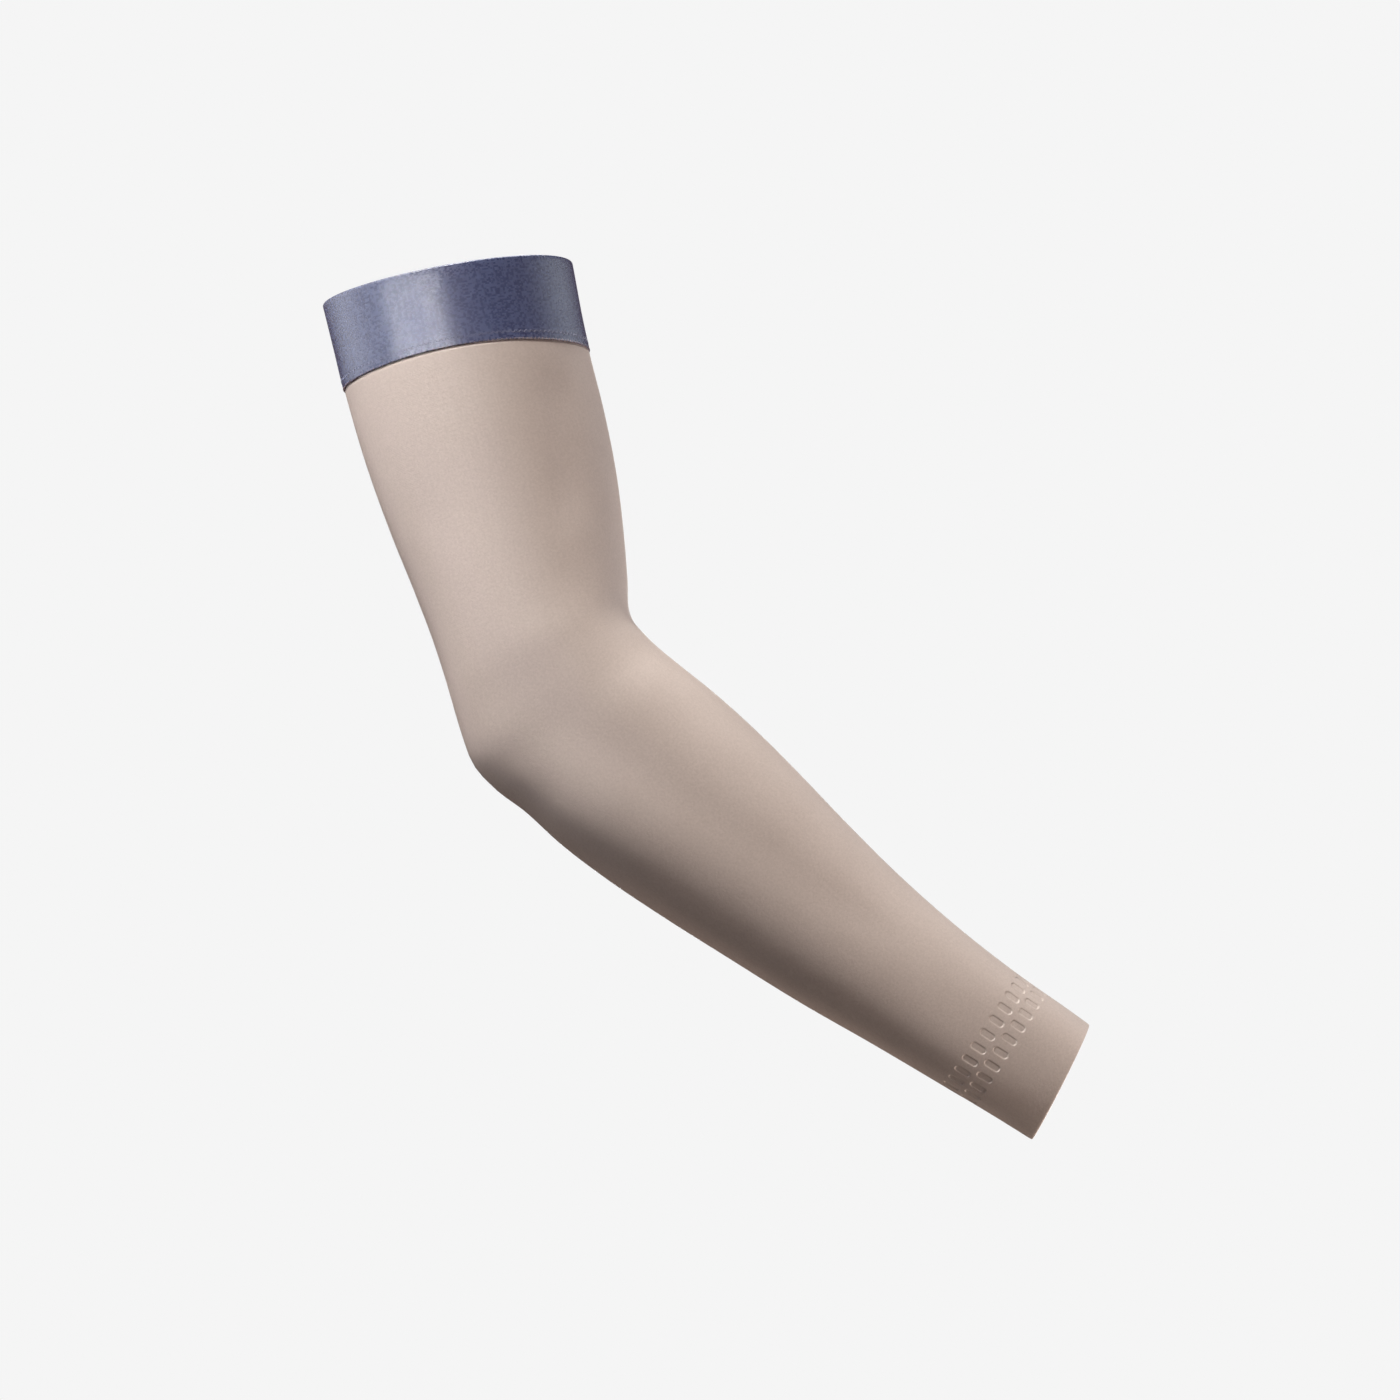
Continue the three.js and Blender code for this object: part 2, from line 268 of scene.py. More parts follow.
def grid_mesh(name, points, uv):
    """points is (rows, columns, 3) and closes both ways; uv is (rows, columns + 1, 2), because the last
    column lies on the first but has its own U. One quad joins each point with its next ones."""
    rows, columns = points.shape[:2]
    i, k = np.meshgrid(np.arange(rows), np.arange(columns), indexing="ij")
    i2, k2 = (i + 1) % rows, (k + 1) % columns
    quads = np.stack([i * columns + k, i2 * columns + k, i2 * columns + k2, i * columns + k2], axis=-1)
    count = rows * columns
    mesh = bpy.data.meshes.new(name)
    mesh.vertices.add(count)
    mesh.vertices.foreach_set("co", points.astype(np.float32).ravel())
    mesh.loops.add(4 * count)
    mesh.loops.foreach_set("vertex_index", quads.astype(np.int32).ravel())
    mesh.polygons.add(count)
    mesh.polygons.foreach_set("loop_start", np.arange(0, 4 * count, 4, dtype=np.int32))
    mesh.polygons.foreach_set("loop_total", np.full(count, 4, np.int32))
    mesh.polygons.foreach_set("use_smooth", np.ones(count, bool))
    mesh.update(calc_edges=True)
    piece = bpy.data.objects.new(name, mesh)
    bpy.context.scene.collection.objects.link(piece)
    add_uv(piece, "cloth", uv)
    mesh.validate()
    corners = points.reshape(-1, 3)[quads.reshape(-1, 4)]
    volume = np.einsum("ij,ij->i", corners[:, 0], np.cross(corners[:, 1], corners[:, 2])
                       + np.cross(corners[:, 2], corners[:, 3])).sum() / 6
    print(f"{name}: {2 * count} triangles, {volume * 1e6:.2f} cm3")
    return piece


def wall_round_arm(name, along, inset, columns, relief=None):
    """The profile (along, inset) carried round the arm. relief(along, angle) is added to the inset where
    the profile is an outer face, and its U is the arc length round each ring from the near side."""
    angle = BACK + 2 * math.pi * np.arange(columns + 1) / columns
    a, s = np.meshgrid(angle, along)
    depth = np.repeat(inset[:, None], columns + 1, axis=1)
    if relief is not None:
        depth = depth + relief(s, a)
    points = cloth(s, a, depth)
    chords = np.linalg.norm(np.diff(points, axis=1), axis=2)
    u = np.concatenate([np.zeros((len(along), 1)), np.cumsum(chords, axis=1)], axis=1)
    u -= u[:, -1:] / 2
    return grid_mesh(name, points[:, :-1], np.stack([u, s], axis=-1))


# %% [markdown]
# ## The knit sleeve
# The real sleeve is cut from one panel of fine stretch jersey and closed with one flat seam, which lies
# out of sight on the far side. Its top edge disappears into the band and its wrist edge is simply cut.
# A ring of short rounded bars is pressed into the cloth near the wrist, in two staggered rows. Two thirds
# of their depth is drawn in the mesh, so the rows of the grid are close together there, and the sharp rim
# is left to a bump, which reads the bars' own coordinates from a second UV map.

# %% Where the cloth lies
BAND_PLY = 0.0007        # one layer of the elastic
BAND_PROUD = 0.0001      # how far the band stands out from the sleeve
BAND_FLARE = 0.00025     # how much further its lower edge does
TUCK_INSET = 0.0004      # how deep the sleeve lies where it comes out from under the band
TUCK_SLOPE = 0.0014      # length over which it comes up from there
WRIST_CURL = 0.0001      # how far the cut edge turns in
WRIST_CURL_LENGTH = 0.001
CUT_EDGE = 0.00015       # rounding of the cut edge


def sleeve_surface(along):
    """Inset of the outer face: drawn in under the band and, a little, at the cut edge of the wrist."""
    out = smooth_step(along, BAND_HEIGHT, BAND_HEIGHT + TUCK_SLOPE)
    curl = smooth_step(along, SLEEVE_END - WRIST_CURL_LENGTH, SLEEVE_END)
    return TUCK_INSET * (1 - out) + WRIST_CURL * curl


# %% Relief of the sleeve
PRESSED_CENTRE = SLEEVE_END - 0.031    # middle of the pressed ring
PRESSED_REACH = 0.0082                 # the grid's rows are close together this far on each side of it
PRESSED_ROWS = 0.0041                  # each row of bars lies this far from that middle
PRESSED_COUNT = 26                     # bars in one row round the wrist
PRESSED_HALF_LENGTH = 0.0032
PRESSED_HALF_WIDTH = 0.0013
PRESSED_EDGE = 0.0003                  # half the width of the soft step round a bar in the mesh
PRESSED_DEEP = 0.00024                 # depth of that step
PRESSED_RIM = 0.0003                   # width of the sharper step that the bump adds
PRESSED_RIM_DEEP = 0.00012             # depth of that one
SEAM_CLEAR = 0.5                       # bars left out on each side of the flat seam
SEAM_HALF_WIDTH = 0.0025
SEAM_FLANK = 0.0006                    # width of the soft step at each side of the seam's ridge
SEAM_RAISED = 0.00025
at_ring = section_at(np.array(PRESSED_CENTRE))
PRESSED_GIRTH = math.pi / 2 * float(at_ring["width"] + at_ring["depth"])


def pressed_bars(along, angle):
    """Rounded bars: the distance to a short line along the arm, with a soft step at the bar's width. The
    second row is turned by half a bar. There is none across the flat seam."""
    turns = (angle - BACK) / (2 * math.pi) * PRESSED_COUNT
    depth = np.zeros(np.broadcast(along, angle).shape)
    for side in (-1, 1):
        across = ((turns + side / 4) % 1 - 0.5) * PRESSED_GIRTH / PRESSED_COUNT
        lengthwise = np.abs(along - PRESSED_CENTRE - side * PRESSED_ROWS)
        beyond = np.maximum(lengthwise - (PRESSED_HALF_LENGTH - PRESSED_HALF_WIDTH), 0)
        distance = np.hypot(across, beyond)
        rim = (PRESSED_HALF_WIDTH - PRESSED_EDGE, PRESSED_HALF_WIDTH + PRESSED_EDGE)
        depth = depth + PRESSED_DEEP * (1 - smooth_step(distance, *rim))
    from_seam = np.abs((turns + PRESSED_COUNT / 2) % PRESSED_COUNT - PRESSED_COUNT / 2)
    return np.where(from_seam > SEAM_CLEAR, depth, 0)


def flat_seam(along, angle):
    """A low flat ridge along the far side: its height falls off with a soft step at its half width."""
    off = np.abs((angle - BACK + math.pi) % (2 * math.pi) - math.pi)
    distance = off * section_at(along)["width"] / 2
    return -SEAM_RAISED * (1 - smooth_step(distance, SEAM_HALF_WIDTH - SEAM_FLANK, SEAM_HALF_WIDTH))


# %% Build the sleeve
SLEEVE_COLUMNS = 400
FINE_BELOW_BAND = 0.003   # the grid's rows are also closer over this length, out of the band
FINE_AT_WRIST = 0.004     # and over this one, at the cut edge


def sleeve_profile():
    """Outer face from the band to the wrist, the cut edge there, and the inner face back. The rows are
    close together where the cloth comes out of the band, at the pressed ring and at the cut edge."""
    outer = spread(
        BAND_HEIGHT - SEAM_ALLOWANCE,
        (BAND_HEIGHT, 3),
        (BAND_HEIGHT + FINE_BELOW_BAND, 10),
        (PRESSED_CENTRE - PRESSED_REACH, 95),
        (PRESSED_CENTRE + PRESSED_REACH, 55),
        (SLEEVE_END - FINE_AT_WRIST, 7),
        (SLEEVE_END - CUT_EDGE, 7),
    )
    corner = np.array([0.3, 0.7, 1.0])   # steps round half of the cut edge, as shares of its rounding
    lip = SLEEVE_END - CUT_EDGE * (1 - np.concatenate([corner, corner[::-1]]))
    drawn_in = CUT_EDGE * corner**2
    lip_inset = WRIST_CURL + np.concatenate([drawn_in, SLEEVE_WALL - drawn_in[::-1]])
    inner = spread(outer[-1], (BAND_HEIGHT, 39), (outer[0], 1))
    along = np.concatenate([outer, lip, inner])
    inset = np.concatenate([sleeve_surface(outer), lip_inset, sleeve_surface(inner) + SLEEVE_WALL])
    return along, inset, len(outer)


sleeve_along, sleeve_inset, outer_rows = sleeve_profile()


def outer_only(along, angle):
    """The bars and the seam's ridge on the outer rows, and none on the lip and the inner face."""
    shown = (np.arange(len(sleeve_along)) < outer_rows)[:, None]
    return np.where(shown, pressed_bars(along, angle) + flat_seam(along, angle), 0)


sleeve = wall_round_arm("knit_sleeve", sleeve_along, sleeve_inset, SLEEVE_COLUMNS, outer_only)

# %% A second UV map for the pressed ring
bar_turns = PRESSED_COUNT * np.arange(SLEEVE_COLUMNS + 1) / SLEEVE_COLUMNS
FAR_OFF = 1.0   # a distance at which no bar is drawn, for the lip and the inner face
from_ring = np.where(np.arange(len(sleeve_along)) < outer_rows, sleeve_along - PRESSED_CENTRE, FAR_OFF)
add_uv(sleeve, "ring", np.stack(np.broadcast_arrays(bar_turns[None, :], from_ring[:, None]), axis=-1))

# %% [markdown]
# ## The folded elastic band
# The band is one strip of satin elastic, folded in half at the mouth, with the sleeve's edge sewn between
# its two layers. So it is built as a folded strip: over the fold and down the outside, round the open edge,
# up between the layers and down again, then round the other edge and up the inside. The zigzag row draws a
# shallow groove into it, and the seam allowance inside fills out the strip below that groove.

# %% Build the band
ZIGZAG_ALONG = BAND_HEIGHT - 0.0033
GROOVE_DEEP = 0.00002    # the groove under the zigzag
GROOVE_HALF = 0.0006
ROLL_ALONG = BAND_HEIGHT - 0.0017
ROLL_RAISED = 0.00002    # the low roll below that groove
ROLL_HALF = 0.0011
BAND_COLUMNS = 320
FOLD_SIDES = 12
BAND_EDGE = 0.0003       # rounding of the lower edge
LAYER_GAP = 0.00004      # between the two layers, above the sleeve's edge
POCKET_SLOPE = 0.004     # length over which they open round that edge
FINE_ABOVE = 0.002       # the grid's rows are closer from this far above the zigzag


def band_surface(along):
    """Inset of the outer face: it flares a little towards its lower edge, with a narrow bell drawn in at
    the zigzag and a low roll below it."""
    flare = BAND_FLARE * smooth_step(along, BAND_HEIGHT / 2, BAND_HEIGHT)
    groove = GROOVE_DEEP * np.exp(-(((along - ZIGZAG_ALONG) / GROOVE_HALF) ** 2))
    roll = ROLL_RAISED * np.exp(-(((along - ROLL_ALONG) / ROLL_HALF) ** 2))
    return -BAND_PROUD - flare + groove - roll


def half_round(centre_along, centre_inset, radius, first, last, sides):
    """Points of an arc in the profile, from the angle first to last, 0 being deeper into the cloth."""
    turn = np.linspace(first, last, sides + 1)
    return centre_along - radius * np.sin(turn), centre_inset + radius * np.cos(turn)


def band_profile():
    """The closed loop of the folded strip: the fold, the outer face, the outer layer's edge, the gap
    between the layers up and down, the inner layer's edge and the inner face."""
    between = BAND_PLY - BAND_PROUD
    low_between = between - BAND_FLARE
    pocket = TUCK_INSET + SLEEVE_WALL + CLEARANCE
    top = BAND_HEIGHT - SEAM_ALLOWANCE - CLEARANCE
    slope_top = top - POCKET_SLOPE
    half_ply = BAND_PLY / 2
    outer_face = spread(BAND_PLY, (ZIGZAG_ALONG - FINE_ABOVE, 15), (BAND_HEIGHT - BAND_EDGE, 23))[1:]
    gap_down = np.array([BAND_PLY * 2, slope_top, top, BAND_HEIGHT - half_ply])
    gap_inset = np.array([between + LAYER_GAP, between + LAYER_GAP, pocket, pocket])
    inner_face = spread(BAND_HEIGHT - half_ply, (top, 3), (slope_top, 5), (BAND_PLY, 9))[1:-1]
    opened = smooth_step(inner_face, slope_top, top)
    inner_inset = between + BAND_PLY + (pocket - between) * opened
    fold = half_round(BAND_PLY, between, BAND_PLY, 0, math.pi, FOLD_SIDES)
    edge_inset = band_surface(BAND_HEIGHT - BAND_EDGE) + BAND_EDGE
    edge = half_round(BAND_HEIGHT - BAND_EDGE, edge_inset, BAND_EDGE, -math.pi, -math.pi / 2, 5)
    inner_edge = half_round(BAND_HEIGHT - half_ply, pocket + half_ply, half_ply, -math.pi, 0, 6)
    along = np.concatenate([fold[0], outer_face, edge[0][1:], [BAND_HEIGHT], [BAND_PLY * 2], gap_down,
                            inner_edge[0][1:], inner_face])
    inset = np.concatenate([fold[1], band_surface(outer_face), edge[1][1:], [low_between], [between],
                            gap_inset, inner_edge[1][1:], inner_inset])
    return along, inset


band = wall_round_arm("elastic_band", *band_profile(), BAND_COLUMNS)

# %% [markdown]
# ## The threads
# Two threads show on the band. A zigzag, a little lighter than the band, holds the sleeve's edge between
# the layers, and a fine thread whips round the lower edge and shows as a row of small dots. A third one, in
# the sleeve's own colour, crosses the flat seam on the far side from edge to edge and comes back up inside.
# Each is one long tube along a closed path on the cloth. The path is a function of one number and the
# tube's skin of a second. Where a zigzag turns, its thread dives into the cloth, as a real stitch does.

# %% A tube along a closed path
THREAD_SIDES = 6
STITCH_STEPS = 12       # points of the path in one stitch of the band
CROSSING_STEPS = 8      # and in one crossing of the flat seam
PROBE = 0.001           # how far out of the cloth a point is taken, to find the way out


def triangle_wave(stitches):
    """From -1 to 1 and back in each stitch."""
    return 1 - 4 * np.abs(stitches % 1 - 0.5)


def thread_rise(radius, swing, proud, dive, power):
    """How far a zigzag's middle line lies above the cloth: radius (proud - dive |swing|^power)."""
    return radius * (proud - dive * np.abs(swing) ** power)


def thread_mesh(name, along, angle, inset, radius):
    """Skin = path + radius (cos(turn) side + sin(turn) up), where side and up are square to the path."""
    path = cloth(along, angle, inset)
    out = cloth(along, angle, inset - PROBE) - path
    tangent = np.roll(path, -1, axis=0) - np.roll(path, 1, axis=0)
    tangent /= np.linalg.norm(tangent, axis=1, keepdims=True)
    side = np.cross(tangent, out)
    side /= np.linalg.norm(side, axis=1, keepdims=True)
    up = np.cross(side, tangent)
    turn = 2 * math.pi * np.arange(THREAD_SIDES) / THREAD_SIDES
    spoke = np.cos(turn)[:, None] * side[:, None] + np.sin(turn)[:, None] * up[:, None]
    skin = path[:, None] + radius * spoke
    length = np.concatenate([[0], np.cumsum(np.linalg.norm(np.diff(path, axis=0), axis=1))])
    round_thread = radius * 2 * math.pi * np.arange(THREAD_SIDES + 1) / THREAD_SIDES
    uv = np.stack(np.broadcast_arrays(round_thread[None, :], length[:, None]), axis=-1)
    return grid_mesh(name, skin, uv)


# %% Sew the zigzag and the edge
ZIGZAGS = 134           # round the band, 2.2 mm each
ZIGZAG_HALF = 0.0006    # how far it swings up and down
THREAD_RADIUS = 0.00013
stitch_turn = np.linspace(0, 1, ZIGZAGS * STITCH_STEPS, endpoint=False)
swing = triangle_wave(stitch_turn * ZIGZAGS)
zigzag_along = ZIGZAG_ALONG + ZIGZAG_HALF * swing
zigzag_rise = thread_rise(THREAD_RADIUS, swing, proud=0.15, dive=1.2, power=4)
zigzag_inset = band_surface(zigzag_along) - zigzag_rise
zigzag = thread_mesh("zigzag_thread", zigzag_along, BACK + 2 * math.pi * stitch_turn, zigzag_inset,
                     THREAD_RADIUS)

WHIPS = 172             # round the band, 1.75 mm each
WHIP_RADIUS = 0.00011
WHIP_REACH = 0.00045    # how far the whipping climbs over the edge
WHIP_UP = 0.0002        # its middle lies this far above the edge
WHIP_PROUD = 0.7        # of its radius, in front of the band
whip_turn = np.linspace(0, 1, WHIPS * STITCH_STEPS, endpoint=False)
whip_phase = 2 * math.pi * WHIPS * whip_turn
edge_middle = (band_surface(BAND_HEIGHT) + BAND_PLY - BAND_PROUD - BAND_FLARE) / 2
whip_along = BAND_HEIGHT - WHIP_UP + WHIP_REACH * np.cos(whip_phase)
whip_inset = edge_middle - (BAND_PLY / 2 + WHIP_RADIUS * WHIP_PROUD) * np.sin(whip_phase)
whip = thread_mesh("edge_thread", whip_along, BACK + 2 * math.pi * whip_turn, whip_inset, WHIP_RADIUS)

# %% Sew the flat seam
CROSSINGS = 150         # down the sleeve, 2.5 mm each, and as many back up
SEAM_THREAD_RADIUS = 0.00012
SEAM_THREAD_PROUD = 0.8                # of its radius, on both faces of the cloth
SEAM_REACH = SEAM_HALF_WIDTH - 0.0007  # its stitches end inside the ridge's flanks
SEAM_TOP = BAND_HEIGHT - 0.002         # hidden by the band's lower edge
SEAM_BOTTOM = SLEEVE_END - 0.003
PASS_THROUGH = 0.0015                  # share of the path on which it goes through the cloth at each end
seam_turn = np.linspace(0, 1, CROSSINGS * 2 * CROSSING_STEPS, endpoint=False)
down = 1 - np.abs(2 * seam_turn - 1)
seam_along = SEAM_TOP + (SEAM_BOTTOM - SEAM_TOP) * down
seam_swing = triangle_wave(2 * seam_turn * CROSSINGS)
seam_angle = BACK + SEAM_REACH * seam_swing / (section_at(seam_along)["width"] / 2)
seam_rise = thread_rise(SEAM_THREAD_RADIUS, seam_swing, proud=SEAM_THREAD_PROUD, dive=1.6, power=6)
outside = sleeve_surface(seam_along) - SEAM_RAISED - seam_rise
inside = sleeve_surface(seam_along) + SLEEVE_WALL + SEAM_THREAD_RADIUS * SEAM_THREAD_PROUD
turned_in = smooth_step(seam_turn, 0.5 - PASS_THROUGH, 0.5)
turned_in = turned_in * (1 - smooth_step(seam_turn, 1 - PASS_THROUGH, 1))
seam_inset = outside + (inside - outside) * turned_in
seam = thread_mesh("seam_thread", seam_along, seam_angle, seam_inset, SEAM_THREAD_RADIUS)

# %% [markdown]
# ## Shader groups for cloth
# Both cloths are knitted, so one node group draws the knit for both. It turns the flat measure of the
# cloth into wales, the upright columns of stitches, and courses, the rows, and puts a small V into each.
# A second group gives each stitch its own slight change of tone, and a third one draws the sharp rims of
# the pressed bars. Each material sets their sizes for itself.

# %% Helpers for node groups
def new_group(name, inputs, outputs):
    """An empty shader group with named sockets. inputs and outputs are lists of (name, socket type)."""
    group = bpy.data.node_groups.new(name, "ShaderNodeTree")
    for label, kind in inputs:
        group.interface.new_socket(label, in_out="INPUT", socket_type=kind)
    for label, kind in outputs:
        group.interface.new_socket(label, in_out="OUTPUT", socket_type=kind)
    return group, group.nodes.new("NodeGroupInput").outputs, group.nodes.new("NodeGroupOutput").inputs


def math_node(tree, operation, *values):
    """One Math node. Each value is a number or the socket that feeds it."""
    node = tree.nodes.new("ShaderNodeMath")
    node.operation = operation
    for socket, value in zip(node.inputs, values):
        if isinstance(value, bpy.types.NodeSocket):
            tree.links.new(value, socket)
        else:
            socket.default_value = value
    return node.outputs[0]


# %% The knit group
LEG_LOW = 0.4        # height of a stitch's leg where it is lowest, as a share of its ridge
GRAIN_SCALE = 900    # of the noise in the yarn's height, to a metre of cloth


def knit_group():
    """Height of one stitch = a ridge on each leg of the V x a swell along the leg. A leg's ridge is
    highest a quarter of a wale off the middle, and the swell's phase slides with that distance. Grain
    adds a noise, for yarn that isn't quite even."""
    tree, given, result = new_group(
        "knit_stitches",
        [("Cloth", "NodeSocketVector"), ("Wale", "NodeSocketFloat"), ("Course", "NodeSocketFloat"),
         ("Slant", "NodeSocketFloat"), ("Grain", "NodeSocketFloat")],
        [("Height", "NodeSocketFloat")],
    )
    split = tree.nodes.new("ShaderNodeSeparateXYZ")
    tree.links.new(given["Cloth"], split.inputs[0])
    wale = math_node(tree, "DIVIDE", split.outputs["X"], given["Wale"])
    course = math_node(tree, "DIVIDE", split.outputs["Y"], given["Course"])
    in_wale = math_node(tree, "FRACT", wale)
    from_middle = math_node(tree, "ABSOLUTE", math_node(tree, "SUBTRACT", in_wale, 0.5))
    ridge_phase = math_node(tree, "MULTIPLY", from_middle, 2 * math.pi)
    ridge = math_node(tree, "SINE", ridge_phase)
    slid = math_node(tree, "ADD", course, math_node(tree, "MULTIPLY", from_middle, given["Slant"]))
    swell = math_node(tree, "SINE", math_node(tree, "MULTIPLY", math_node(tree, "FRACT", slid), math.pi))
    stitch = math_node(tree, "MULTIPLY", ridge, math_node(tree, "MULTIPLY_ADD", swell, 1 - LEG_LOW, LEG_LOW))
    uneven = tree.nodes.new("ShaderNodeTexNoise")
    uneven.inputs["Scale"].default_value = GRAIN_SCALE
    uneven.inputs["Detail"].default_value = 2
    tree.links.new(given["Cloth"], uneven.inputs["Vector"])
    off_middle = math_node(tree, "SUBTRACT", uneven.outputs["Fac"], 0.5)
    height = math_node(tree, "MULTIPLY_ADD", off_middle, given["Grain"], stitch)
    tree.links.new(height, result["Height"])
    return tree


# %% The yarn tone group
STREAK_SCALE = 1100     # of the streaks, to a metre across the wales
STREAK_STRETCH = 0.04   # of that scale along the wales
CLOUD_SCALE = 25        # of the broad clouds, to a metre


def tone_group():
    """Tone = a mask near 0.5: one random value for each stitch, streaks along the wales, broad clouds. A
    stitch is a cell of the flat cloth, Wale wide and Course high."""
    tree, given, result = new_group(
        "yarn_tone",
        [("Cloth", "NodeSocketVector"), ("Place", "NodeSocketVector"), ("Wale", "NodeSocketFloat"),
         ("Course", "NodeSocketFloat"), ("Speck", "NodeSocketFloat"), ("Streak", "NodeSocketFloat"),
         ("Cloud", "NodeSocketFloat")],
        [("Tone", "NodeSocketFloat")],
    )

    def noise(vector, scale, stretch, detail):
        mapping = tree.nodes.new("ShaderNodeMapping")
        mapping.inputs["Scale"].default_value = stretch
        tree.links.new(vector, mapping.inputs["Vector"])
        node = tree.nodes.new("ShaderNodeTexNoise")
        node.inputs["Scale"].default_value = scale
        node.inputs["Detail"].default_value = detail
        tree.links.new(mapping.outputs[0], node.inputs["Vector"])
        return math_node(tree, "SUBTRACT", node.outputs["Fac"], 0.5)

    split = tree.nodes.new("ShaderNodeSeparateXYZ")
    tree.links.new(given["Cloth"], split.inputs[0])
    cell = tree.nodes.new("ShaderNodeCombineXYZ")
    for axis, size in (("X", "Wale"), ("Y", "Course")):
        counted = math_node(tree, "FLOOR", math_node(tree, "DIVIDE", split.outputs[axis], given[size]))
        tree.links.new(counted, cell.inputs[axis])
    dice = tree.nodes.new("ShaderNodeTexWhiteNoise")
    dice.noise_dimensions = "2D"
    tree.links.new(cell.outputs[0], dice.inputs["Vector"])
    speck = math_node(tree, "SUBTRACT", dice.outputs["Value"], 0.5)
    streak = noise(given["Cloth"], STREAK_SCALE, (1, STREAK_STRETCH, 1), 1)
    cloud = noise(given["Place"], CLOUD_SCALE, (1, 1, 1), 3)
    total = math_node(tree, "MULTIPLY", speck, given["Speck"])
    total = math_node(tree, "MULTIPLY_ADD", streak, given["Streak"], total)
    total = math_node(tree, "MULTIPLY_ADD", cloud, given["Cloud"], total)
    tone = math_node(tree, "ADD", total, 0.5)
    tree.links.new(tone, result["Tone"])
    return tree


# %% The pressed bars group
def pressed_group():
    """Depth = 1 inside a bar and 0 outside, with a step as wide as Rim. Ring holds the bars counted round
    the arm and the distance from the ring's middle. The sum of the two rows is the whole ring, from its
    First bar to its Last one on either side of the seam."""
    tree, given, result = new_group(
        "pressed_bars",
        [("Ring", "NodeSocketVector"), ("Spacing", "NodeSocketFloat"), ("Row", "NodeSocketFloat"),
         ("Straight", "NodeSocketFloat"), ("Half Width", "NodeSocketFloat"), ("Rim", "NodeSocketFloat"),
         ("First", "NodeSocketFloat"), ("Last", "NodeSocketFloat")],
        [("Depth", "NodeSocketFloat")],
    )
    split = tree.nodes.new("ShaderNodeSeparateXYZ")
    tree.links.new(given["Ring"], split.inputs[0])
    inner = math_node(tree, "MULTIPLY_ADD", given["Rim"], -0.5, given["Half Width"])
    outer = math_node(tree, "MULTIPLY_ADD", given["Rim"], 0.5, given["Half Width"])
    rows = []
    for side in (-1, 1):
        turned = math_node(tree, "FRACT", math_node(tree, "ADD", split.outputs["X"], 1 + side / 4))
        across = math_node(tree, "MULTIPLY", math_node(tree, "SUBTRACT", turned, 0.5), given["Spacing"])
        middle = math_node(tree, "MULTIPLY_ADD", given["Row"], -side, split.outputs["Y"])
        past = math_node(tree, "SUBTRACT", math_node(tree, "ABSOLUTE", middle), given["Straight"])
        beyond = math_node(tree, "MAXIMUM", past, 0.0)
        square = math_node(tree, "MULTIPLY_ADD", beyond, beyond, math_node(tree, "POWER", across, 2.0))
        distance = math_node(tree, "SQRT", square)
        step = tree.nodes.new("ShaderNodeMapRange")
        step.interpolation_type = "SMOOTHSTEP"
        step.inputs["To Min"].default_value = 1.0
        step.inputs["To Max"].default_value = 0.0
        tree.links.new(distance, step.inputs["Value"])
        tree.links.new(inner, step.inputs["From Min"])
        tree.links.new(outer, step.inputs["From Max"])
        rows.append(step.outputs["Result"])
    after_seam = math_node(tree, "GREATER_THAN", split.outputs["X"], given["First"])
    before_seam = math_node(tree, "LESS_THAN", split.outputs["X"], given["Last"])
    clear = math_node(tree, "MULTIPLY", after_seam, before_seam)
    tree.links.new(math_node(tree, "MULTIPLY", math_node(tree, "ADD", *rows), clear), result["Depth"])
    return tree


KNIT = knit_group()
TONE = tone_group()
PRESSED = pressed_group()

# %% [markdown]
# ## The three finishes
# The sleeve is a taupe jersey, smooth and fairly matt, with a soft gloss that shows where light grazes it.
# The band is a satin elastic with fine upright ribs: its dye is dark and its yarn is shiny, so most of
# what is seen of it is the lights' soft reflection. That is a dark base colour with a raised index of
# refraction. The threads are plain polyester. Constant values are set on the shader's own sockets.

# %% Cloth material
STITCH_PAINTED_SHADE = 0.3   # painted shade: how much of a stitch's height goes into its tone, so its low places get a darker colour
STITCH_PAINTED_SHADE_MEAN = 0.13   # what that painted shade adds on average, taken off again


def colour(red, green, blue):
    """An sRGB colour from 0 to 255 as the linear colour that nodes expect."""
    s = np.array([red, green, blue]) / 255
    linear = np.where(s <= 0.04045, s / 12.92, ((s + 0.055) / 1.055) ** 2.4)
    return (*linear, 1)


def place_group(tree, group, **values):
    """Adds a group to a material and sets its inputs: numbers as defaults, sockets as links."""
    node = tree.nodes.new("ShaderNodeGroup")
    node.node_tree = group
    for name, value in values.items():
        if isinstance(value, bpy.types.NodeSocket):
            tree.links.new(value, node.inputs[name])
        else:
            node.inputs[name].default_value = value
    return node


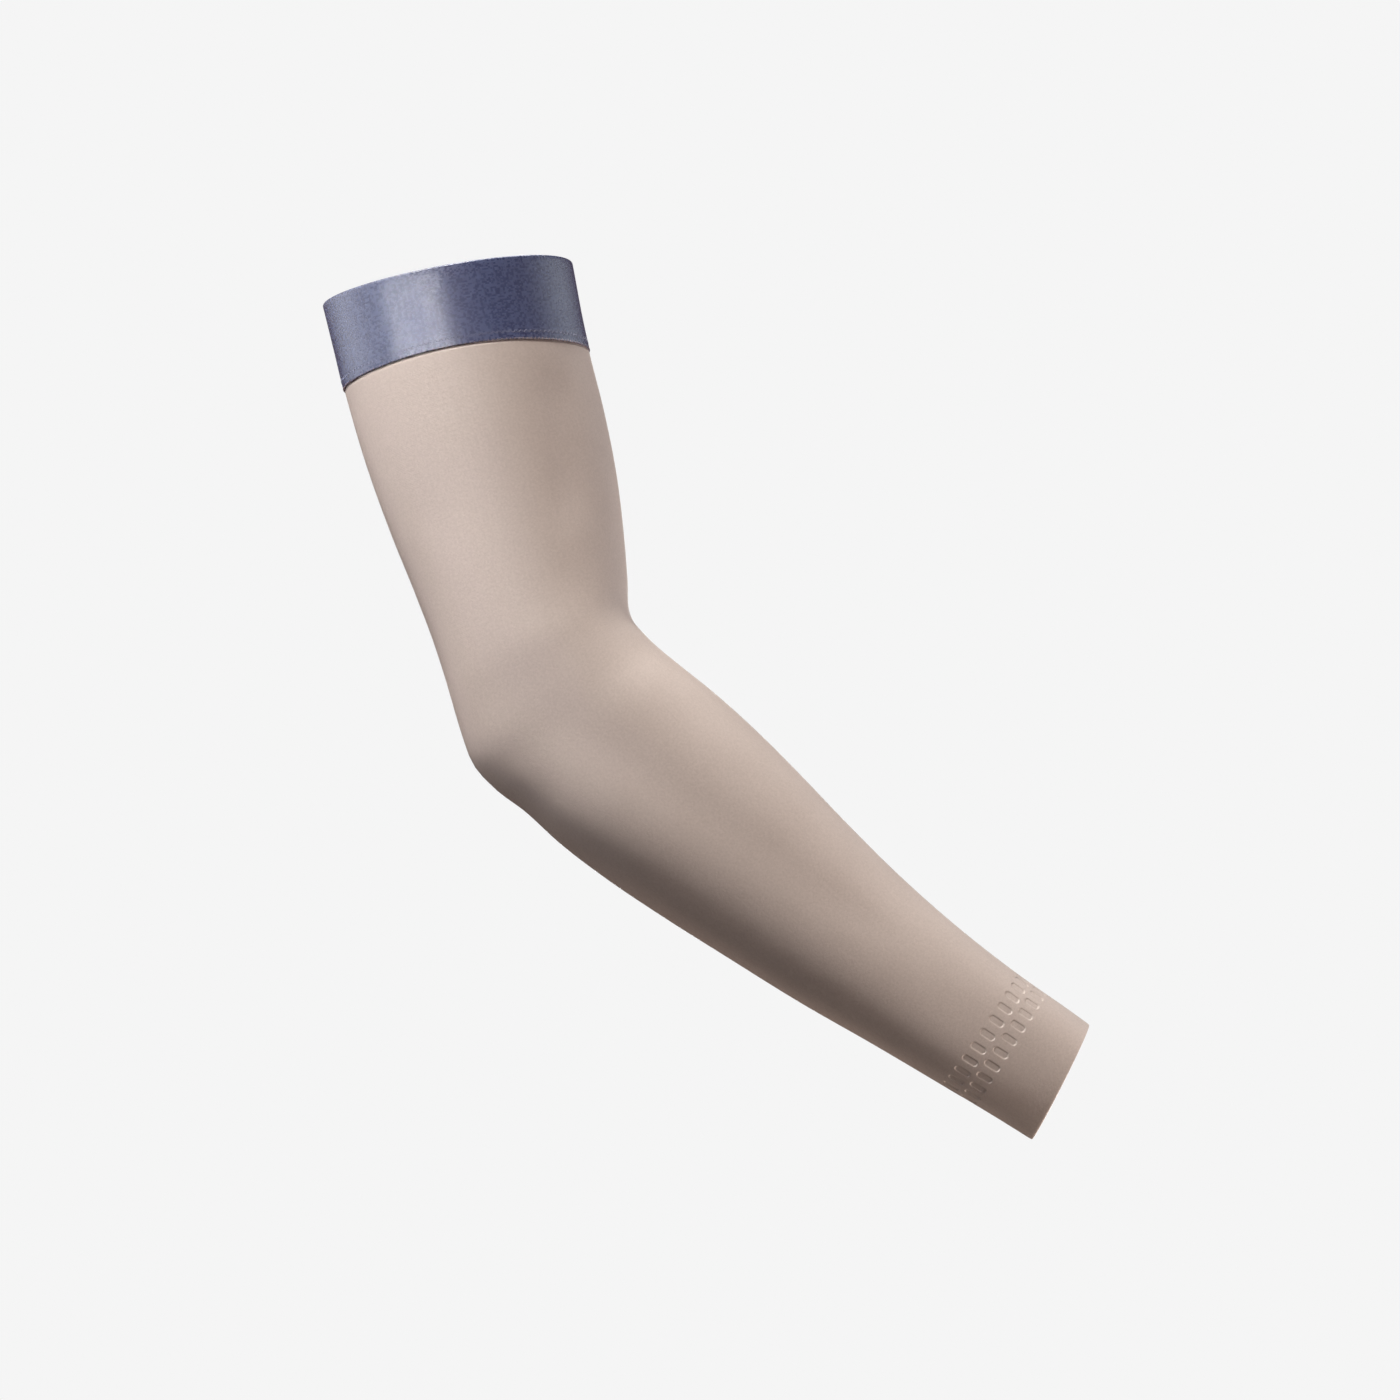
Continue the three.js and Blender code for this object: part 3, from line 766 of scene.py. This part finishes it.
def cloth_material(name, dark, light, knit, tone, bump, gloss, shader, pressed=None):
    """Base colour = a mix of two near tones by the yarn's tone and by painted shade: a stitch's height goes
    into the mix too, so the knit's low places are darker. Normal = a bump from the knit's height,
    with distance as the real depth of a stitch, on top of the rim of the pressed bars where there are
    any. Roughness = gloss[0] + gloss[1] x the tone, so single yarns glint. Everything constant sits on
    the Principled shader."""
    material = bpy.data.materials.new(name)
    material.use_nodes = True
    tree = material.node_tree
    principled = tree.nodes["Principled BSDF"]
    for socket, value in shader.items():
        principled.inputs[socket].default_value = value
    flat = tree.nodes.new("ShaderNodeUVMap")
    flat.uv_map = "cloth"
    place = tree.nodes.new("ShaderNodeTexCoord")
    stitches = place_group(tree, KNIT, Cloth=flat.outputs["UV"], **knit)
    tones = place_group(tree, TONE, Cloth=flat.outputs["UV"], Place=place.outputs["Object"],
                        Wale=knit["Wale"], Course=knit["Course"], **tone)
    # painted shade: the stitch's height is added to the yarn's tone, so the knit's low places get a darker
    # colour
    tone_and_painted_shade = math_node(tree, "MULTIPLY_ADD", stitches.outputs["Height"], STITCH_PAINTED_SHADE, tones.outputs["Tone"])
    centred = math_node(tree, "SUBTRACT", tone_and_painted_shade, STITCH_PAINTED_SHADE_MEAN)
    mix = tree.nodes.new("ShaderNodeMix")
    mix.data_type = "RGBA"
    mix.inputs["A"].default_value = dark
    mix.inputs["B"].default_value = light
    tree.links.new(centred, mix.inputs["Factor"])
    tree.links.new(mix.outputs["Result"], principled.inputs["Base Color"])
    roughness = math_node(tree, "MULTIPLY_ADD", tones.outputs["Tone"], gloss[1], gloss[0])
    tree.links.new(roughness, principled.inputs["Roughness"])
    relief = tree.nodes.new("ShaderNodeBump")
    relief.inputs["Strength"].default_value = bump[0]
    relief.inputs["Distance"].default_value = bump[1]
    tree.links.new(stitches.outputs["Height"], relief.inputs["Height"])
    tree.links.new(relief.outputs["Normal"], principled.inputs["Normal"])
    if pressed:
        ring = tree.nodes.new("ShaderNodeUVMap")
        ring.uv_map = "ring"
        bars = place_group(tree, PRESSED, Ring=ring.outputs["UV"], **pressed)
        rim = tree.nodes.new("ShaderNodeBump")
        rim.invert = True
        rim.inputs["Strength"].default_value = 1.0
        rim.inputs["Distance"].default_value = PRESSED_RIM_DEEP
        tree.links.new(bars.outputs["Depth"], rim.inputs["Height"])
        tree.links.new(rim.outputs["Normal"], relief.inputs["Normal"])
    return material


taupe_knit = cloth_material(
    "taupe_knit", colour(173, 160, 151), colour(192, 179, 170),
    knit={"Wale": 0.0007, "Course": 0.0006, "Slant": 1.6, "Grain": 2.0},
    tone={"Speck": 0.4, "Streak": 0.3, "Cloud": 0.6},
    bump=(0.5, 0.00008),
    gloss=(0.54, 0.04),
    shader={"Specular IOR Level": 1.0},
    pressed={"Spacing": PRESSED_GIRTH / PRESSED_COUNT, "Row": PRESSED_ROWS,
             "Straight": PRESSED_HALF_LENGTH - PRESSED_HALF_WIDTH, "Half Width": PRESSED_HALF_WIDTH,
             "Rim": PRESSED_RIM, "First": SEAM_CLEAR, "Last": PRESSED_COUNT - SEAM_CLEAR},
)
satin_elastic = cloth_material(
    "satin_elastic", colour(46, 57, 89), colour(81, 94, 127),
    knit={"Wale": 0.00085, "Course": 0.0007, "Slant": 0.4, "Grain": 3.0},
    tone={"Speck": 0.7, "Streak": 0.6, "Cloud": 0.3},
    bump=(0.42, 0.00008),
    gloss=(0.265, 0.02),
    shader={"IOR": 1.8, "Specular IOR Level": 0.86},
)


# %% Thread material
THREAD_DARK = 0.7   # the darkest tone of a thread, as a share of its lightest


def thread_material(name, tint):
    """A smooth filament with a faint change of tone along it."""
    material = bpy.data.materials.new(name)
    material.use_nodes = True
    tree = material.node_tree
    principled = tree.nodes["Principled BSDF"]
    principled.inputs["Roughness"].default_value = 0.45
    principled.inputs["Sheen Weight"].default_value = 0.2
    flat = tree.nodes.new("ShaderNodeUVMap")
    flat.uv_map = "cloth"
    place = tree.nodes.new("ShaderNodeTexCoord")
    tones = place_group(tree, TONE, Cloth=flat.outputs["UV"], Place=place.outputs["Object"],
                        Wale=0.0002, Course=0.0006, Speck=0.6, Streak=0.0, Cloud=0.5)
    mix = tree.nodes.new("ShaderNodeMix")
    mix.data_type = "RGBA"
    mix.inputs["A"].default_value = tuple(THREAD_DARK * c for c in tint[:3]) + (1,)
    mix.inputs["B"].default_value = tint
    tree.links.new(tones.outputs["Tone"], mix.inputs["Factor"])
    tree.links.new(mix.outputs["Result"], principled.inputs["Base Color"])
    return material


zigzag_polyester = thread_material("zigzag_polyester", colour(120, 124, 150))
edge_polyester = thread_material("edge_polyester", colour(165, 142, 148))
seam_polyester = thread_material("seam_polyester", colour(186, 174, 165))

# %% Dress the pieces and tie them to the frame
for piece, finish, node, slot in [
    (sleeve, taupe_knit, "sleeve", "sleeve_knit"),
    (band, satin_elastic, "cuff_band", "band_elastic"),
    (zigzag, zigzag_polyester, None, "band_elastic"),
    (whip, edge_polyester, None, "band_elastic"),
    (seam, seam_polyester, None, "sleeve_knit"),
]:
    piece.data.materials.append(finish)
    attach(piece, "root")
    if node:
        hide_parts(node)

# %% [markdown]
# ## The cut of each cloth
# Stretch cloth is cut smaller than the arm. The sleeve's panel is a trapezium about an eighth narrower
# than the tube that it becomes, and the band is a straight strip, folded in half along its length.
# Neither flat piece is built here: the script builds only the cloth as worn.

# %% [markdown]
# ## Floor, backdrop and light
# The photograph has a plain pale backdrop and no shadow, because the piece is held up well clear of any
# surface. A wide floor lies far below. Lit like the piece, it would throw light back up under the forearm,
# which is dark in the photograph. So the camera sees it as the same even pale tone as the backdrop, and
# the light that bounces finds it dark, as if a black cloth hid it from the piece. Disk lights stand round
# the piece: a hard key high on the left with soft lamps beside it, a low lamp that draws the satin stripe
# on the band, and others that mark the edges and the back.

# %% Floor
BACKDROP = colour(245, 245, 245)
FLOOR_DARK = (0.02, 0.02, 0.02, 1)   # what bounced light finds
FLOOR_DROP = 1.3
FLOOR_RADIUS = 14
FLOOR_SIDES = 96


def show_to_camera(tree, hidden, shown, surface):
    """Mixes two shaders, so that the camera sees one and every other ray finds the other."""
    path = tree.nodes.new("ShaderNodeLightPath")
    both = tree.nodes.new("ShaderNodeMixShader")
    tree.links.new(path.outputs["Is Camera Ray"], both.inputs["Fac"])
    tree.links.new(hidden.outputs[0], both.inputs[1])
    tree.links.new(shown.outputs[0], both.inputs[2])
    tree.links.new(both.outputs[0], surface)


round_floor = np.linspace(0, 2 * math.pi, FLOOR_SIDES, endpoint=False)
disc = np.stack([FLOOR_RADIUS * np.cos(round_floor), FLOOR_RADIUS * np.sin(round_floor),
                 np.full(FLOOR_SIDES, -FLOOR_DROP)], axis=-1)
floor_mesh = bpy.data.meshes.new("studio_floor")
floor_mesh.from_pydata(disc.tolist(), [], [list(range(FLOOR_SIDES))])
floor = bpy.data.objects.new("studio_floor", floor_mesh)
bpy.context.scene.collection.objects.link(floor)
pale = bpy.data.materials.new("pale_floor")
pale.use_nodes = True
dim = pale.node_tree.nodes["Principled BSDF"]
dim.inputs["Base Color"].default_value = FLOOR_DARK
dim.inputs["Specular IOR Level"].default_value = 0.0
glow = pale.node_tree.nodes.new("ShaderNodeEmission")
glow.inputs["Color"].default_value = BACKDROP
show_to_camera(pale.node_tree, dim, glow, pale.node_tree.nodes["Material Output"].inputs["Surface"])
floor_mesh.materials.append(pale)

# %% World
FILL = (0.07, 0.01, 0.0, 1)   # faint warm light from the room, on every side
world = bpy.data.worlds.new("studio_world")
world.use_nodes = True
bpy.context.scene.world = world
backdrop = world.node_tree.nodes["Background"]
backdrop.inputs["Color"].default_value = BACKDROP
fill = world.node_tree.nodes.new("ShaderNodeBackground")
fill.inputs["Color"].default_value = FILL
show_to_camera(world.node_tree, fill, backdrop, world.node_tree.nodes["World Output"].inputs["Surface"])

# %% Lights
AIM = Vector((0.098, 0, -0.151))   # the middle of the piece, as the photograph frames it
# name: azimuth and elevation in degrees, seen from the piece (0 is the camera's side and 90 is +X), then
# distance, size, watts and colour
LIGHTS = {
    "key": (-41, 55, 2.2, 0.35, 69.0, (1.0, 0.98, 0.94)),
    "satin_stripe": (-44.6, 10, 0.6, 0.08, 0.81, (0.98, 0.97, 1.0)),
    "soft_left": (-50, 36, 1.2, 0.7, 2.5, (0.98, 0.97, 1.0)),
    "low_fill": (-22, 21, 0.8, 0.35, 0.16, (1.0, 0.75, 0.75)),
    "left_fill": (-73, 13, 0.8, 0.35, 0.12, (0.9, 0.8, 1.0)),
    "left_high": (-80, 32, 1.2, 0.8, 2.45, (1.0, 0.97, 0.95)),
    "left_edge": (-101, 12, 0.8, 0.5, 1.0, (0.97, 0.96, 1.0)),
    "right_edge": (114, -1, 0.8, 1.2, 3.8, (0.84, 0.93, 1.0)),
    "under_right": (90, -40, 0.6, 0.25, 3.6, (1.0, 0.86, 0.78)),
    "under_left": (-165, -35, 0.8, 0.4, 0.6, (1.0, 0.72, 0.6)),
    "top": (130, 84, 1.0, 0.25, 5.4, (0.97, 0.99, 1.0)),
    "back_left": (-140, 25, 1.4, 0.8, 0.8, (1.0, 0.9, 0.95)),
    "back": (180, 5, 1.6, 0.6, 12.0, (1.0, 0.98, 0.95)),
}
for name, (azimuth, elevation, distance, size, watts, tint) in LIGHTS.items():
    lamp = bpy.data.lights.new(name, "AREA")
    lamp.shape = "DISK"
    lamp.size = size
    lamp.energy = watts
    lamp.color = tint
    holder = bpy.data.objects.new(name, lamp)
    bpy.context.scene.collection.objects.link(holder)
    a, e = math.radians(azimuth), math.radians(elevation)
    out = Vector((math.sin(a) * math.cos(e), -math.cos(a) * math.cos(e), math.sin(e)))
    holder.location = AIM + out * distance
    holder.rotation_euler = (-out).to_track_quat("-Z", "Y").to_euler()
    holder.visible_camera = False

# %% [markdown]
# ## The camera
# The photograph is taken from a little below the middle of the piece, with a long lens. The lens and the
# distance follow from the piece's real size on the picture: 0.40 mm to a pixel at 2 m.

# %% Camera
VIEW_DISTANCE = 2.0
VIEW_RISE = math.radians(6)     # the camera looks up by this much
PIXEL_SIZE = 0.0004             # metres of the piece in one pixel
PICTURE_WIDTH = 1400            # pixels
SENSOR = 36                     # millimetres
lens = bpy.data.cameras.new("studio_camera")
lens.sensor_width = SENSOR
lens.lens = SENSOR * VIEW_DISTANCE / (PICTURE_WIDTH * PIXEL_SIZE)
lens.clip_end = 60              # metres, past the floor's far edge
camera = bpy.data.objects.new("studio_camera", lens)
bpy.context.scene.collection.objects.link(camera)
look = Vector((0, math.cos(VIEW_RISE), math.sin(VIEW_RISE)))
camera.location = AIM - look * VIEW_DISTANCE
camera.rotation_euler = look.to_track_quat("-Z", "Y").to_euler()
bpy.context.scene.camera = camera
bpy.context.scene.view_settings.view_transform = "Standard"
print(f"lens {lens.lens:.1f} mm at {VIEW_DISTANCE} m")
